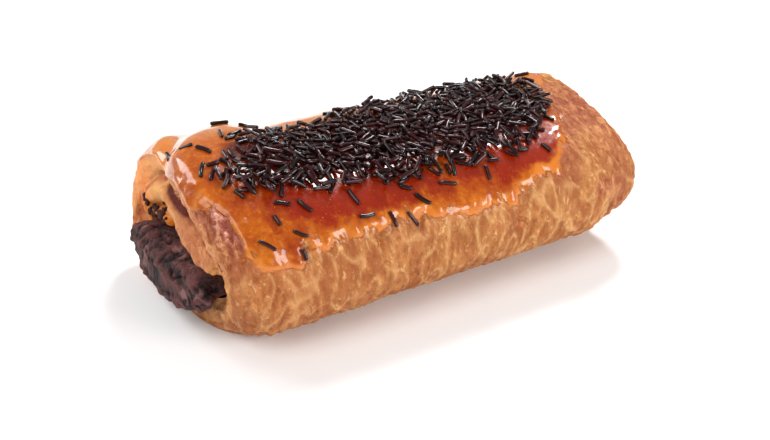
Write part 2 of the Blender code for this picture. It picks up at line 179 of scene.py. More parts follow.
# The glaze: the angle where it ends on the front, and on the back, at places along the roll
GLAZE_PLACES = (-0.064, -0.0585, -0.056, -0.054, -0.0497, -0.0425, -0.0357, -0.0266, -0.0187, -0.0131,
                -0.0023, 0.0077, 0.0145, 0.0214, 0.0302, 0.0378, 0.0431, 0.0507, 0.057, 0.0636)
GLAZE_FRONT = (112, 128, 148, 157, 160, 163, 155, 153, 151, 152,
               156, 160, 161, 158, 149, 146, 134, 106, 82, 60)
GLAZE_BACK = (30, 28, 26, 25, 22, 22, 24, 26, 26, 26, 26, 26, 26, 26, 26, 28, 30, 36, 44, 50)
GLAZE_ENDS = 0.066
ARC_PER_DEGREE = 0.0006

# Bare spots and drips of the glaze: x and angle of the middle, half width, half angle, and a drip's height
BARE_SPOTS = ((-0.058, 133, 0.0036, 17), (-0.0482, 129, 0.001, 3), (-0.04, 154, 0.001, 4))
BARE_DEPTH = 0.016
DRIPS = (
    (-0.049, 152, 0.0022, 8, 0.00075), (-0.0428, 155, 0.0014, 7, 0.0006),
    (-0.0345, 153, 0.001, 5, 0.0003), (-0.026, 152, 0.0014, 7, 0.00065),
    (-0.0183, 150, 0.0011, 5, 0.00045), (-0.002, 154, 0.0015, 5, 0.00055),
    (0.0085, 158, 0.0014, 5, 0.0005), (0.0205, 159, 0.0013, 5, 0.00045), (0.0368, 149, 0.0012, 5, 0.0005),
)
DRIP_REACH = 0.003

# The glaze's level: how far it dips under the skin outside its edge, the places inside the edge between which
# it rises, the bead along its front edge, and the ridge at its left end
GLAZE_DIP = 0.0011
GLAZE_RISE = (-0.0045, 0.0026)
BEAD_HEIGHT = 0.0003
BEAD_PLACE = 0.0024
BEAD_WIDTH = 0.0022
RIDGE_HEIGHT = 0.0006
RIDGE_PLACE = -0.0588
RIDGE_WIDTH = 0.0018
RIDGE_BACK = (64, 74)
RIDGE_FRONT = (118, 132)

# How deep and dark the glaze pools at places along the roll
DEEP_PLACES = (-0.06, -0.05, -0.042, -0.035, -0.024, -0.012, -0.002, 0.006, 0.014, 0.027, 0.04, 0.05, 0.06)
DEEP_SHARE = (0.25, 0.35, 0.65, 0.9, 0.85, 0.8, 0.6, 0.42, 0.6, 0.9, 0.7, 0.3, 0.1)

# The bare dough: how far it lies under the solid's skin, the height that counts as 1 in its mark, how much of
# its relief the glaze hides, and how much rougher it is on the left sheath: by what share, where, how wide
DOUGH_SUNK = 0.00045
DOUGH_HEIGHT = 0.0007
CALMED = 0.62
SHEATH = (1.2, -0.056, 0.006, 132, 20)


def around(values, angle):
    """A value set at eight even places round the roll, joined by a smooth curve that closes on itself."""
    waves = np.fft.rfft(np.array(values)) / len(values)
    total = np.full_like(angle, waves[0].real)
    for order in range(1, len(waves)):
        share = 1 if 2 * order == len(values) else 2
        turned = order * angle
        total += share * (waves[order].real * np.cos(turned) - waves[order].imag * np.sin(turned))
    return total


def ease(value, low, high):
    """0 below low, 1 above high, and the cubic 3s^2 - 2s^3 between them."""
    share = np.clip((value - low) / (high - low), 0, 1)
    return share * share * (3 - 2 * share)


def full_turn(steps):
    """Even angles round a full turn."""
    return np.linspace(0, 2 * math.pi, steps, endpoint=False)


def along(values, x):
    """A value set at even places from one end of the roll to the other, joined by smooth steps."""
    place = np.clip((x / LENGTH + 0.5) * (len(values) - 1), 0, len(values) - 1.001)
    low = np.floor(place).astype(int)
    share = ease(place - low, 0, 1)
    values = np.array(values)
    return values[low] * (1 - share) + values[low + 1] * share


def bell(value, middle, spread):
    """exp(-((value - middle) / spread)^2), a bell curve of height 1."""
    return np.exp(-(((value - middle) / spread) ** 2))


def soft_max(a, b, width):
    """The greater of two heights, with the corner between them rounded over the width."""
    blend = np.clip(0.5 + 0.5 * (a - b) / width, 0, 1)
    return b + (a - b) * blend + width * blend * (1 - blend)


def power(value, fullness):
    """A cosine or sine raised to a superellipse's power 2 / fullness, with its sign kept."""
    return np.sign(value) * np.abs(value) ** (2 / fullness)


def degrees_of(angle):
    """An angle in degrees from -90 to 270, so that the count starts again under the base."""
    return (np.degrees(angle) + 90) % 360 - 90


def unit(vectors):
    """Vectors brought to length 1."""
    return vectors / np.maximum(np.linalg.norm(vectors, axis=-1, keepdims=True), 1e-12)


def noise(points, cell, seed):
    """A smooth chance field of about -1 to 1: a slope drawn at each corner of a cubic lattice of that cell,
    and the eight slopes round a point blended by the quintic 6s^5 - 15s^4 + 10s^3 on each axis."""
    slopes = unit(np.random.default_rng(seed).normal(size=(4096, 3)))
    place = points / cell
    low = np.floor(place).astype(np.int64)
    part = place - low
    weight = part**3 * (part * (part * 6 - 15) + 10)
    total = np.zeros(points.shape[:-1])
    for corner in itertools.product((0, 1), repeat=3):
        at = low + np.array(corner)
        key = (at[..., 0] * 73856093) ^ (at[..., 1] * 19349663) ^ (at[..., 2] * 83492791)
        slope = ((part - corner) * slopes[key & 4095]).sum(-1)
        total += slope * np.prod(np.where(corner, weight, 1 - weight), axis=-1)
    return total * 1.5


def swelling(x, angle):
    """How far the skin stands out from the plain roll: the top line, the crease of the lap and the dents,
    each a bell curve round the roll times one along it."""
    degrees = degrees_of(angle)
    proud = along(TOP_LINE, x) * bell(degrees, TOP_MIDDLE, TOP_SPREAD)
    lap_angle = LAP_ANGLE + LAP_SLANT * (x - LAP_PLACE)
    proud -= LAP_DEPTH * bell(degrees, lap_angle, LAP_SPREAD) * (1 - ease(x, *LAP_END))
    for depth, place, middle, spread, wide in DENTS:
        proud -= depth * bell(x, place, spread) * bell(degrees, middle, wide)
    return proud


def crust_skin(share, angle):
    """The smooth outside of the roll as (x, y, z): a superellipse round the waist, fuller below it, drawn in
    towards each rim along a quarter circle, with the swelling added outwards."""
    degrees = degrees_of(angle)
    lap = ease(degrees, *LAP_BACK) * (1 - ease(degrees, *LAP_FRONT))
    left, right = -around(LEFT_RIM, angle) - LAP_STEP * lap, around(RIGHT_RIM, angle)
    x = left + (right - left) * share
    into_left = np.clip(1 - (x - left) / LEFT_SHOULDER, 0, 1)
    into_right = np.clip(1 - (right - x) / RIGHT_SHOULDER, 0, 1)
    scale = 1 - around(LEFT_DRAW_IN, angle) * (1 - np.sqrt(1 - into_left**2))
    scale -= around(RIGHT_DRAW_IN, angle) * (1 - np.sqrt(1 - into_right**2))
    upper = np.sin(angle) > 0
    fullness = np.where(upper, TOP_FULLNESS, BASE_FULLNESS)
    rise = np.where(upper, HEIGHT - WAIST_HEIGHT, WAIST_HEIGHT + BASE_CUT)
    y = WIDTH / 2 * power(np.cos(angle), fullness)
    z = rise * power(np.sin(angle), fullness) * (1 + HEIGHT_TAPER * x / LENGTH)
    stretch = scale + swelling(x, angle) / np.hypot(y, z)
    return np.stack([x, y * stretch, np.maximum(WAIST_HEIGHT + z * stretch, 0)], -1)


def channel(share, angle, gap):
    """The bore's (y, z), from the left mouth at share 0 to the right one at 1, narrowed by gap: a
    superellipse whose front part bends upwards as a parabola at the left mouth."""
    left, right = LEFT_MOUTH_CENTRE + LEFT_MOUTH_HALF, RIGHT_MOUTH_CENTRE + RIGHT_MOUTH_HALF
    middle_y, middle_z, half_y, half_z = [a + (b - a) * share for a, b in zip(left, right)]
    y = middle_y + (half_y - gap) * power(np.cos(angle), MOUTH_FULLNESS)
    z = middle_z + (half_z - gap) * power(np.sin(angle), MOUTH_FULLNESS)
    return y, z + (1 - share) * MOUTH_BEND * np.minimum(y - BEND_START, 0) ** 2


def bore_ring(x, angle, gap):
    """A ring of the bore at x, narrowed by gap."""
    share = (x - BORE_STATIONS[0]) / (BORE_STATIONS[-1] - BORE_STATIONS[0])
    y, z = channel(share, angle, gap)
    return np.stack([np.full_like(y, x), y, z], -1)


def places_on(y, z, line):
    """For each part of a line, whose places start or end with y and z: the share of it at which a point lies
    nearest, and the distance from there."""
    for (*_, y0, z0), (*_, y1, z1) in zip(line, line[1:]):
        run = (y1 - y0) ** 2 + (z1 - z0) ** 2
        part = np.clip(((y - y0) * (y1 - y0) + (z - z0) * (z1 - z0)) / run, 0, 1)
        yield part, np.hypot(y - y0 - (y1 - y0) * part, z - z0 - (z1 - z0) * part)


def roll_of_dough(y, z, crest, thickness):
    """How far out a round-topped roll of dough reaches over each point: the crest line's reach less the drop
    of a half circle across it, and a straight slope beyond."""
    reach = np.full_like(y, -1.0)
    for (start, end), (part, distance) in zip(zip(crest, crest[1:]), places_on(y, z, crest)):
        away = distance * 2 / thickness
        top = abs(start[0]) + (abs(end[0]) - abs(start[0])) * part
        drop = thickness / 2 * (1 - np.sqrt(np.clip(1 - away**2, 0, 1)))
        drop += WRAP_SLOPE * np.maximum(away - 1, 0)
        reach = np.maximum(reach, top - drop)
    return reach


def line_distance(y, z, line):
    """The least distance from each point to a line of (y, z) places."""
    return np.minimum.reduce([distance for _, distance in places_on(y, z, line)])


def end_face(q, angle, side):
    """The end face from the rim at q 0 to the mouth at q 1, on the left (side -1) or the right (side 1): a
    straight way between the two in y and z, a rounded lip, a smooth step down to the mouth, and the wrap and
    strip laid over it."""
    rim = crust_skin(np.full_like(angle, 0.0 if side < 0 else 1.0), angle)
    mouth_y, mouth_z = channel(0.0 if side < 0 else 1.0, angle, 0)
    span = np.hypot(mouth_y - rim[..., 1], mouth_z - rim[..., 2])
    y, z = rim[..., 1] + (mouth_y - rim[..., 1]) * q, rim[..., 2] + (mouth_z - rim[..., 2]) * q
    distance = q * span
    edge = np.clip(distance / SHEET_THICKNESS, 0, 1)
    rim_reach = side * rim[..., 0]
    mouth_reach = around(LEFT_MOUTH_X if side < 0 else RIGHT_MOUTH_X, angle)
    fall = ease(distance, FACE_STARTS, np.minimum(FACE_ENDS, span))
    reach = rim_reach - LIP_DROP * (1 - np.sqrt(1 - edge**2)) * (1 - fall)
    reach += (mouth_reach - rim_reach) * fall
    if side < 0:
        reach = soft_max(reach, roll_of_dough(y, z, LEFT_STRIP, STRIP_THICKNESS), WRAP_BLEND)
    wrap = LEFT_WRAP if side < 0 else RIGHT_WRAP
    reach = soft_max(reach, roll_of_dough(y, z, wrap, WRAP_THICKNESS), WRAP_BLEND)
    if side < 0:
        reach -= CREASE_DEPTH * bell(line_distance(y, z, CREASE_LINE), 0, CREASE_WIDTH)
        reach -= WALL_DEPTH * bell(line_distance(y, z, WALL_LINE), 0, WALL_WIDTH)
    return np.stack([side * reach, y, z], -1)


def ring_shares():
    """Places of the outer rings, closer together near both ends: 0.5 - 0.4 cos t - 0.1 cos^3 t."""
    turn = np.cos(np.linspace(0, math.pi, OUTER_RINGS))
    return 0.5 - 0.4 * turn - 0.1 * turn**3


def round_angles(steps):
    """Angles round the roll, t - c sin(t - a), which stand closest together near a."""
    turn = full_turn(steps)
    return turn - CLOSENESS * np.sin(turn - CLOSEST_AT)


def crust_grid():
    """The dough as rings of points in one closed skin: outside, right face, bore and left face. Gives the
    points, each ring's kind, and the angles. A kind is 0 outside, 1 right face, 2 bore or 3 left face."""
    angle = round_angles(ROUND_STEPS)
    share, _ = np.broadcast_arrays(ring_shares()[:, None], angle)
    outside = crust_skin(share, np.broadcast_to(angle, share.shape))
    faces = []
    for side, count in ((1, RIGHT_FACE_RINGS), (-1, LEFT_FACE_RINGS)):
        q = np.linspace(0, 1, count)[1:]
        q, turned = np.broadcast_arrays(q[:, None], angle)
        faces.append(end_face(q, turned, side))
    bore = np.stack([bore_ring(x, angle, 0) for x in reversed(BORE_STATIONS)])
    grid = np.concatenate([outside, faces[0], bore, faces[1][::-1]])
    kind = np.repeat([0, 1, 2, 3], [len(outside), len(faces[0]), len(bore), len(faces[1])])
    return grid, kind, np.broadcast_to(angle, grid.shape[:2])


def normals_of(grid):
    """The outward unit normals of a closed grid of rings: the cross product of the steps round and along."""
    across = np.roll(grid, -1, 1) - np.roll(grid, 1, 1)
    lengthwise = np.roll(grid, -1, 0) - np.roll(grid, 1, 0)
    return unit(np.cross(across, lengthwise))


def softened(values, rings, columns):
    """Values averaged over a window of the grid, by shifts of the whole grid."""
    total = sum(np.roll(values, k, 0) for k in range(-rings, rings + 1)) / (2 * rings + 1)
    return sum(np.roll(total, k, 1) for k in range(-columns, columns + 1)) / (2 * columns + 1)


def hollowness(grid, normal, reach):
    """How deep each point lies under its surroundings along its normal: the window's average less it."""
    return ((softened(grid, reach, reach) - grid) * normal).sum(-1)


def glaze_reach(points, degrees):
    """Metres inside the glaze's edge: the lesser arc to its front and its back edge, moved by noise for its
    uneven line, less at the bare spots and more in the drips, each a bell curve along and round the roll."""
    x = points[..., 0]
    front = np.interp(x, GLAZE_PLACES, GLAZE_FRONT)
    back = np.interp(x, GLAZE_PLACES, GLAZE_BACK)
    uneven = 0.0024 * noise(points * (1, 0.4, 0.25), 0.0046, SEED + 20)
    uneven += 0.0013 * noise(points * (1, 0.6, 0.5), 0.0018, SEED + 21)
    for place, angle, spread, wide in BARE_SPOTS:
        uneven -= BARE_DEPTH * bell(x, place, spread) * bell(degrees, angle, wide)
    for place, angle, spread, wide, _ in DRIPS:
        uneven += DRIP_REACH * bell(x, place, 1.3 * spread) * bell(degrees, angle + 3, wide)
    inside = np.minimum(front - degrees, degrees - back) * ARC_PER_DEGREE
    return np.minimum(inside, GLAZE_ENDS - np.abs(x)) + uneven


def dough_relief(points):
    """The bare dough's height in metres, and its wrinkles: soft lumps stretched round the roll, crumples as
    the size of a noise, thin raised wrinkles and upright ridges where other noises pass zero, and leaves of
    dough as a sawtooth of a slow noise, which rise slowly to an edge and drop there."""
    tall = points * (1, 0.5, 0.5)
    lumps = noise(tall, 0.0062, SEED)
    bent = tall + 0.0011 * lumps[..., None]
    crumple = np.abs(noise(bent, 0.003, SEED + 1))
    small = np.abs(noise(points, 0.0015, SEED + 2))
    wrinkle = (1 - np.minimum(1, np.abs(noise(bent * (1, 0.7, 0.7), 0.0042, SEED + 3)) * 5)) ** 2
    ridge = 1 - np.minimum(1, np.abs(noise(points * (1, 0.28, 0.28), 0.0021, SEED + 6)) * 2.2)
    leaf = 2.6 * noise(bent, 0.0085, SEED + 4) + 0.5 * noise(points, 0.0031, SEED + 5)
    leaf = leaf - np.floor(leaf)
    leaf = leaf * (1 - ease(leaf, 0.78, 1.0))
    height = 0.00045 * lumps + 0.00085 * (crumple - 0.3) + 0.0003 * (small - 0.3) + 0.00018 * wrinkle
    return height + 0.0003 * (leaf - 0.35) + 0.00032 * (ridge - 0.5), wrinkle


def grid_faces(rings, columns):
    """Quads of a grid that closes on itself both ways, facing out."""
    i, j = np.meshgrid(np.arange(rings), np.arange(columns), indexing="ij")
    here, ahead, beside = i * columns, (i + 1) % rings * columns, (j + 1) % columns
    return np.stack([here + j, here + beside, ahead + beside, ahead + j], -1).reshape(-1, 4)


def put_in(name, data):
    """A new object in the scene."""
    made = bpy.data.objects.new(name, data)
    bpy.context.scene.collection.objects.link(made)
    return made


def mesh_piece(name, points, faces, marks, material):
    """An object from arrays of points and of faces with the same number of corners, with a value per point
    for each mark, that rides on the part."""
    mesh = bpy.data.meshes.new(name)
    corners = faces.shape[1]
    mesh.vertices.add(len(points))
    mesh.vertices.foreach_set("co", points.astype(np.float32).ravel())
    mesh.loops.add(faces.size)
    mesh.loops.foreach_set("vertex_index", faces.astype(np.int32).ravel())
    mesh.polygons.add(len(faces))
    mesh.polygons.foreach_set("loop_start", np.arange(0, faces.size, corners, dtype=np.int32))
    mesh.update(calc_edges=True)
    mesh.validate()
    for mark, values in marks.items():
        layer = mesh.attributes.new(mark, "FLOAT", "POINT")
        layer.data.foreach_set("value", values.astype(np.float32).ravel())
    mesh.shade_smooth()
    mesh.materials.append(material)
    piece = put_in(name, mesh)
    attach(piece, "root")
    return piece


class Wire:
    """One value in a material's node tree. Arithmetic on wires makes the Math nodes for it."""

    def __init__(self, tree, socket=None):
        self.tree = tree
        self.socket = socket

    def make(self, kind, settings, values, output=0):
        """A node of any kind, with its settings and each socket's value or wire. Gives an output's wire."""
        made = self.tree.nodes.new(kind)
        for name, value in settings.items():
            setattr(made, name, value)
        for key, value in values.items():
            if isinstance(value, Wire):
                self.tree.links.new(value.socket, made.inputs[key])
            else:
                made.inputs[key].default_value = value
        return Wire(self.tree, made.outputs[output])

    def math(self, operation, *values):
        """A Math node."""
        return self.make("ShaderNodeMath", {"operation": operation}, dict(enumerate(values)))

    def __add__(self, other):
        return self.math("ADD", self, other)

    def __radd__(self, other):
        return self.math("ADD", other, self)

    def __sub__(self, other):
        return self.math("SUBTRACT", self, other)

    def __rsub__(self, other):
        return self.math("SUBTRACT", other, self)

    def __mul__(self, other):
        return self.math("MULTIPLY", self, other)

    def __rmul__(self, other):
        return self.math("MULTIPLY", other, self)

    def clear(self, low=0.0, high=1.0):
        """The smooth step of this value between low and high."""
        values = {0: self, 1: low, 2: high, 3: 0.0, 4: 1.0}
        return self.make("ShaderNodeMapRange", {"interpolation_type": "SMOOTHSTEP"}, values)

    def mixed(self, first, second):
        """Two colours mixed by this value, each a wire or a colour of the screen."""
        first, second = [each if isinstance(each, Wire) else tone(*each) for each in (first, second)]
        return self.make("ShaderNodeMix", {"data_type": "RGBA"}, {0: self, 6: first, 7: second}, 2)

    def stretched(self, *scale):
        """This vector times another."""
        return self.make("ShaderNodeVectorMath", {"operation": "MULTIPLY"}, {0: self, 1: scale})

    def grain(self, size, detail=2.0, rough=0.5, warp=0.0):
        """Noise at this place with features of that size in metres, from 0 to 1."""
        values = {"Vector": self, "Scale": 1 / size, "Detail": detail, "Roughness": rough}
        values["Distortion"] = warp
        return self.make("ShaderNodeTexNoise", {}, values)

    def bumped(self, height, strength, distance):
        """The normal bumped by a height."""
        return self.make("ShaderNodeBump", {}, {"Strength": strength, "Distance": distance, "Height": height})

    def mark(self, name):
        """A value kept with the mesh's points."""
        return self.make("ShaderNodeAttribute", {"attribute_name": name}, {}, 2)


def tone(red, green, blue):
    """A colour of the screen, 0 to 255, as a linear colour."""
    parts = [part / 255 for part in (red, green, blue)]
    return (*[p / 12.92 if p <= 10 / 255 else ((p + 0.055) / 1.055) ** 2.4 for p in parts], 1.0)


def new_material(name):
    """A material with its shader, and a wire to place nodes by."""
    material = bpy.data.materials.new(name)
    material.use_nodes = True
    tree = material.node_tree
    shader = tree.nodes["Principled BSDF"]
    start = Wire(tree)
    place = start.make("ShaderNodeTexCoord", {}, {}, "Object")
    return material, shader, place


def feed(place, shader, **inputs):
    """Values or wires on the shader's sockets, whose names have their spaces written as underscores."""
    for name, value in inputs.items():
        socket = shader.inputs[name.replace("_", " ")]
        if isinstance(value, Wire):
            place.tree.links.new(value.socket, socket)
        else:
            socket.default_value = value


def crust_material():
    """Golden flaky dough, browned on its ridges and lips, with painted red-brown shade in its folds and
    hollows and painted highlights on its raised dough and wrinkles, under an amber glaze with painted shade
    between the sprinkles.
    """
    material, shader, place = new_material("baked_dough")
    names = ("glaze", "deep", "bake", "fold_shade", "raised", "pale", "wet", "strewn")
    glaze, deep, bake, fold_shade, raised, pale, wet, strewn = [place.mark(name) for name in names]
    blotch = place.stretched(1, 0.6, 0.6).grain(0.006, 3.0)
    fleck = place.grain(0.0016, 3.0, 0.6, 0.4)
    speck = place.grain(0.0006, 2.0, 0.6)
    streak = place.stretched(1, 0.35, 0.35).grain(0.002, 3.0, 0.6, 0.8)
    rosy = place.stretched(1, 0.6, 0.6).grain(0.0052, 3.0, 0.6, 0.3)
    fine = place.stretched(1, 0.55, 0.55).grain(0.0012, 4.0, 0.65, 0.7)
    tan = blotch.clear(0.35, 0.68).mixed((173, 107, 56), (197, 133, 76))
    tan = (rosy.clear(0.5, 0.7) * 0.45).mixed(tan, (184, 108, 62))
    tan = (fine.clear(0.54, 0.68) * 0.75).mixed(tan, (230, 182, 124))
    tan = ((1 - fine.clear(0.34, 0.46)) * 0.65).mixed(tan, (150, 84, 42))
    # Painted shade: the dough is darker where it lies low in its relief
    tan = ((1 - raised.clear(-1.5, -0.3)) * 0.75).mixed(tan, (146, 78, 38))
    # Painted highlight along the thin raised wrinkles of the dough
    tan = (place.mark("wrinkle") * 0.6).mixed(tan, (230, 178, 116))
    tan = (speck.clear(0.6, 0.72) * 0.6).mixed(tan, (156, 84, 52))
    brown = fine.clear(0.36, 0.62).mixed((154, 84, 46), (208, 140, 92))
    # Painted shade in the hollows and painted highlight on the raised dough, from the dough's height
    brown = ((1 - raised.clear(-1.3, 0.1)) * 0.8).mixed(brown, (146, 70, 48))
    brown = (raised.clear(0.1, 1.2) * 0.7).mixed(brown, (230, 174, 138))
    dough = (bake * (0.65 + blotch * 0.7)).clear(0.25, 0.95).mixed(tan, brown)
    ruddy = fine.clear(0.4, 0.6).mixed((160, 78, 56), (222, 158, 132))
    # Painted shade in the hollows and painted highlight on the raised flakes of the ruddy patch
    ruddy = ((1 - raised.clear(-0.9, 0.3)) * 0.8).mixed(ruddy, (130, 50, 36))
    ruddy = (raised.clear(0.2, 1.1) * 0.8).mixed(ruddy, (244, 208, 188))
    dough = (place.mark("ruddy") * (0.8 + blotch)).clear(0.1, 0.8).mixed(dough, ruddy)
    dough = pale.mixed(dough, blotch.clear(0.3, 0.7).mixed((240, 152, 88), (250, 178, 118)))
    dough = place.mark("yellow").mixed(dough, (222, 160, 84))
    dough = place.mark("orange").mixed(dough, (216, 124, 40))
    # Painted shade: the groove inside the back wall and the low left front are darkened
    dough = (place.mark("wall") * 0.8).mixed(dough, (166, 78, 42))
    # Painted shade: the folds, the hollows and the crease on the left face are darkened red-brown
    dough = (fold_shade * (0.7 + fleck * 0.6)).clear(0.05, 0.8).mixed(dough, (92, 30, 20))
    mottle = place.grain(0.003, 3.0, 0.6, 0.6)
    gold = blotch.clear(0.3, 0.7).mixed((198, 106, 30), (212, 128, 46))
    amber = fleck.clear(0.45, 0.75).mixed((174, 85, 8), (200, 112, 22))
    syrup = (deep + (mottle - 0.5) * 0.5).clear(0.0, 0.3).mixed(gold, amber)
    pool = deep + (blotch - 0.5) * 0.6 + (mottle - 0.5) * 0.7 + (streak - 0.5) * 0.4 - raised * 0.12
    syrup = pool.clear(0.27, 0.95).mixed(syrup, (136, 30, 1))
    # Painted shade: the glaze is darkened between and under the sprinkles
    syrup = (strewn * (0.4 + blotch * 0.9)).clear(0.15, 0.9).mixed(syrup, (78, 20, 10))
    syrup = (place.mark("thin") * (0.3 + streak * 0.9)).clear(0.2, 0.9).mixed(syrup, (204, 116, 38))
    syrup = (speck.clear(0.64, 0.76) * 0.5).mixed(syrup, (222, 138, 60))
    soaked = (wet * (0.2 + streak * 0.8)).mixed(dough, (196, 104, 36))
    colour = glaze.mixed(soaked, syrup)
    rough = 0.6 + (fleck - 0.5) * 0.2 - wet * 0.36
    height = (fleck * 0.5 + speck * 0.3 + fine * 1.0 + streak * 0.4) * (1 - glaze * 0.9) + mottle * 0.12
    bump = place.bumped(height, 0.9, 0.0009)
    feed(place, shader, Base_Color=colour, Roughness=rough, Coat_Weight=wet * (1 - strewn * 0.85),
         Coat_Roughness=0.04, Coat_IOR=1.34, Specular_IOR_Level=0.18, Normal=bump)
    return material


def sprinkle_material():
    """Dark glossy chocolate, a little different from rod to rod."""
    material, shader, place = new_material("chocolate_sprinkle")
    shade = place.mark("shade")
    cloudy = place.grain(0.0009, 2.0)
    colour = (shade * 0.7 + cloudy * 0.3).clear(0.1, 0.9).mixed((18, 4, 5), (52, 16, 18))
    bump = place.bumped(cloudy, 0.25, 0.0001)
    feed(place, shader, Base_Color=colour, Roughness=0.3 + cloudy * 0.16, Coat_Weight=0.85,
         Coat_Roughness=0.06, Coat_IOR=1.42, Specular_IOR_Level=0.05, Normal=bump)
    return material


def filling_material():
    """Dark baked chocolate, matt and crumbly, with painted shade, redder and darker, in its cracks and
    hollows and painted light on its raised lumps.
    """
    material, shader, place = new_material("chocolate_filling")
    raised = place.mark("raised")
    crumb = place.grain(0.0011, 4.0, 0.65)
    patch = place.grain(0.005, 3.0)
    # Painted shade in the hollows and painted light on the raised chocolate
    colour = (raised * 0.8 + crumb * 0.5).clear(0.35, 0.95).mixed((20, 6, 8), (104, 60, 57))
    # Painted light on raised patches
    colour = (patch.clear(0.5, 0.7) * raised).clear(0.2, 0.7).mixed(colour, (138, 96, 94))
    # Painted shade in the cracks
    colour = place.mark("crack").mixed(colour, (50, 8, 10))
    bump = place.bumped(crumb, 1.0, 0.0012)
    rough = 0.5 + crumb * 0.3
    feed(place, shader, Base_Color=colour, Roughness=rough, Specular_IOR_Level=0.25, Normal=bump)
    return material


def floor_material():
    """A pale matt table top with a faint mottle."""
    material, shader, place = new_material("pale_floor")
    mottle = place.grain(0.4, 2.0)
    feed(place, shader, Base_Color=mottle.mixed((246, 246, 245), (250, 250, 250)), Roughness=0.6)
    return material


def finished_skin(points, normal, degrees, outer):
    """The outside with its relief and glaze: the dough's relief and the glaze's level are heights along the
    normal, and the higher one shows. Gives the points, the glaze's cover and depth, the dough's height and
    wrinkles, and how wet the skin is."""
    x, z = points[..., 0], points[..., 2]
    relief, wrinkle = dough_relief(points)
    reach = glaze_reach(points, degrees)
    rougher, place, spread, angle, wide = SHEATH
    calm = 1 - CALMED * ease(reach, 0.001, 0.01)
    calm *= 1 + rougher * bell(x, place, spread) * bell(degrees, angle, wide)
    off_base = ease(z, 0.0004, 0.0045)
    height = (relief * calm * (0.25 + 0.75 * off_base) - DOUGH_SUNK) * ease(z, 0, 0.0006)
    thick = ease(noise(points * (1, 0.5, 0.5), 0.0052, SEED + 22), -0.2, 0.5)
    bead = ease(degrees, 120, 140) * BEAD_HEIGHT * thick * bell(reach, BEAD_PLACE, BEAD_WIDTH)
    for place, angle, spread, wide, drop in DRIPS:
        bead += drop * bell(x, place, spread) * bell(degrees, angle - 2, wide)
    ridge = RIDGE_HEIGHT * bell(x, RIDGE_PLACE, RIDGE_WIDTH) * ease(degrees, *RIDGE_BACK)
    ridge *= 1 - ease(degrees, *RIDGE_FRONT)
    level = -GLAZE_DIP + GLAZE_DIP * ease(reach, *GLAZE_RISE) + bead + ridge
    level += 0.00007 * noise(points, 0.0042, SEED + 23)
    edge = 1 - ease(reach, 0.003, 0.008)
    level += 0.00026 * noise(points * (1, 0.7, 0.7), 0.0019, SEED + 24) * edge
    level = np.where(outer > 0.5, level, -0.003)
    shown = soft_max(height, level, 0.00018)
    cover = ease(level - height, -0.00016, 0.0002)
    depth = ease(reach, 0.0002, 0.0065)
    wet = np.maximum(cover, ease(reach, -0.0034, 0.0002)) * outer
    return points + normal * shown[..., None], cover, depth, height / DOUGH_HEIGHT, wrinkle, wet


